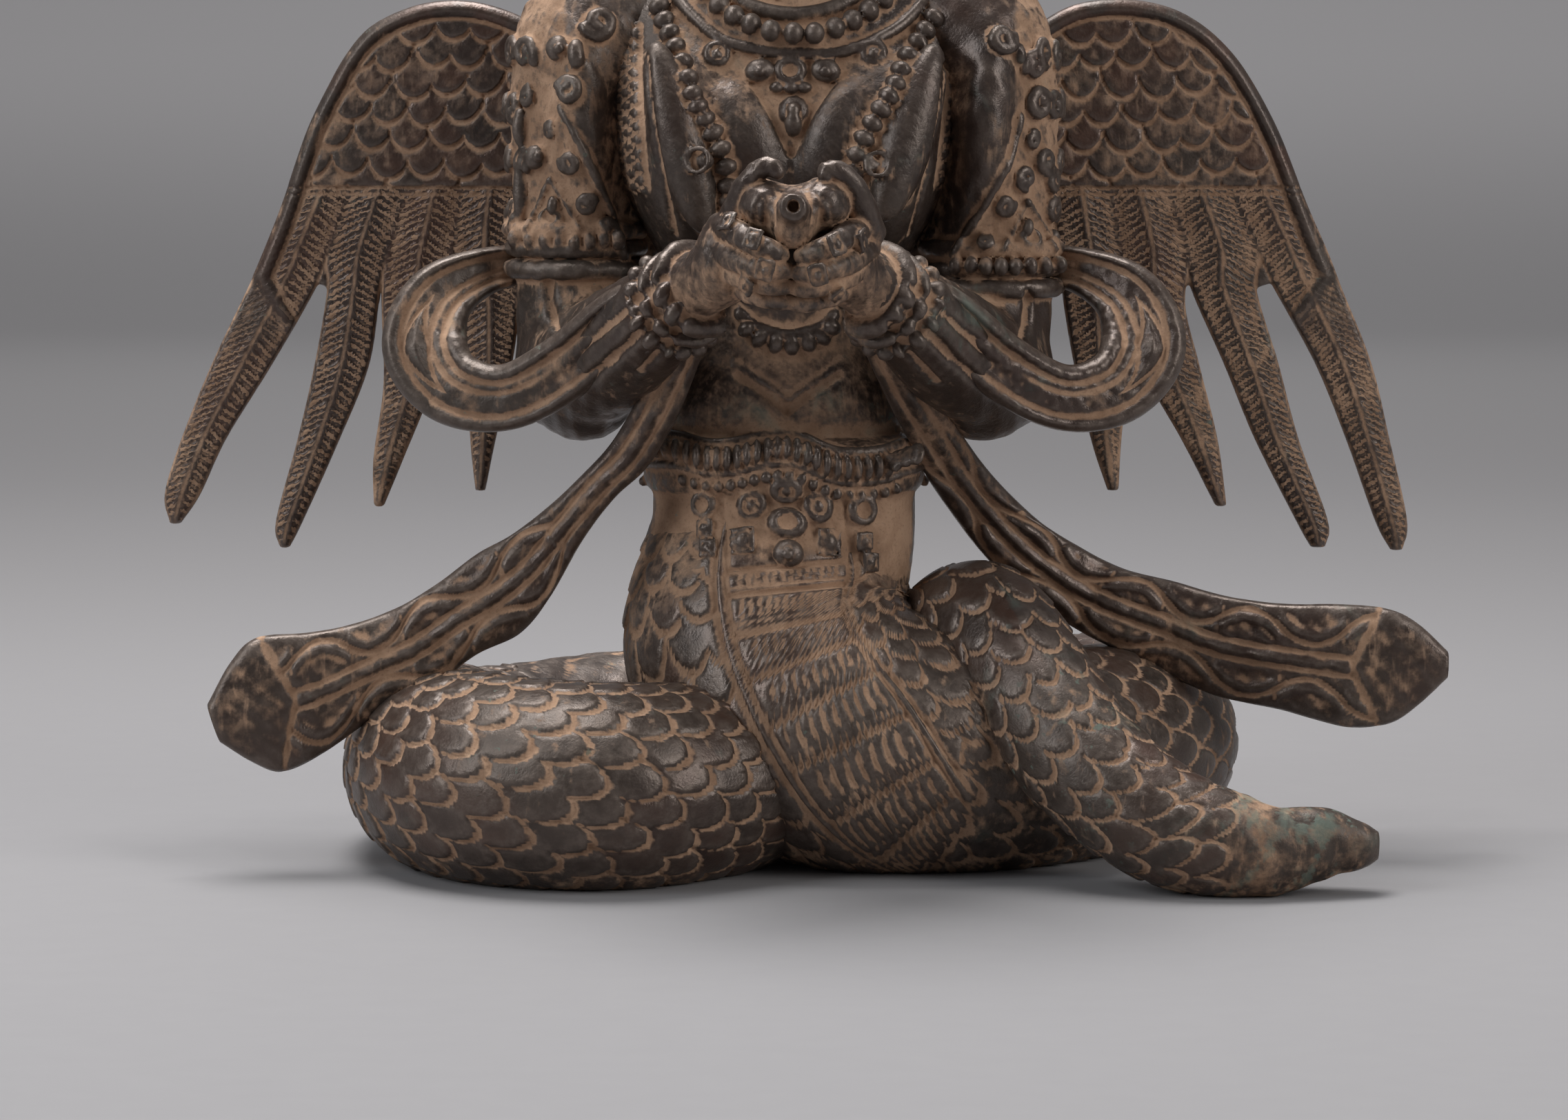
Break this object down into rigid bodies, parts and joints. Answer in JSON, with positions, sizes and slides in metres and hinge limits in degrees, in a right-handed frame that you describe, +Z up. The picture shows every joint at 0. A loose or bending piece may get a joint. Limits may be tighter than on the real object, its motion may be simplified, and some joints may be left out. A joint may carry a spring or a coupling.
{
  "type": "naga maiden statue",
  "caption": "Small cast bronze statue of a winged woman holding a conch, her lower body a snake coiled on the ground as a stand, with a cobra hood behind her head.",
  "frame": {"origin": "centre of the figure's box, on the ground it stands on", "axes": "+Z up, +X to the right of someone who looks at the front, the figure faces -Y"},
  "size_m": [0.2086, 0.1289, 0.2113],
  "materials": {
    "bronze": "dark brown patina, worn on the high spots, ochre dust in the grooves"
  },
  "bodies": {
    "root": {"naga_maiden": "bronze"}
  },
  "joints": []
}
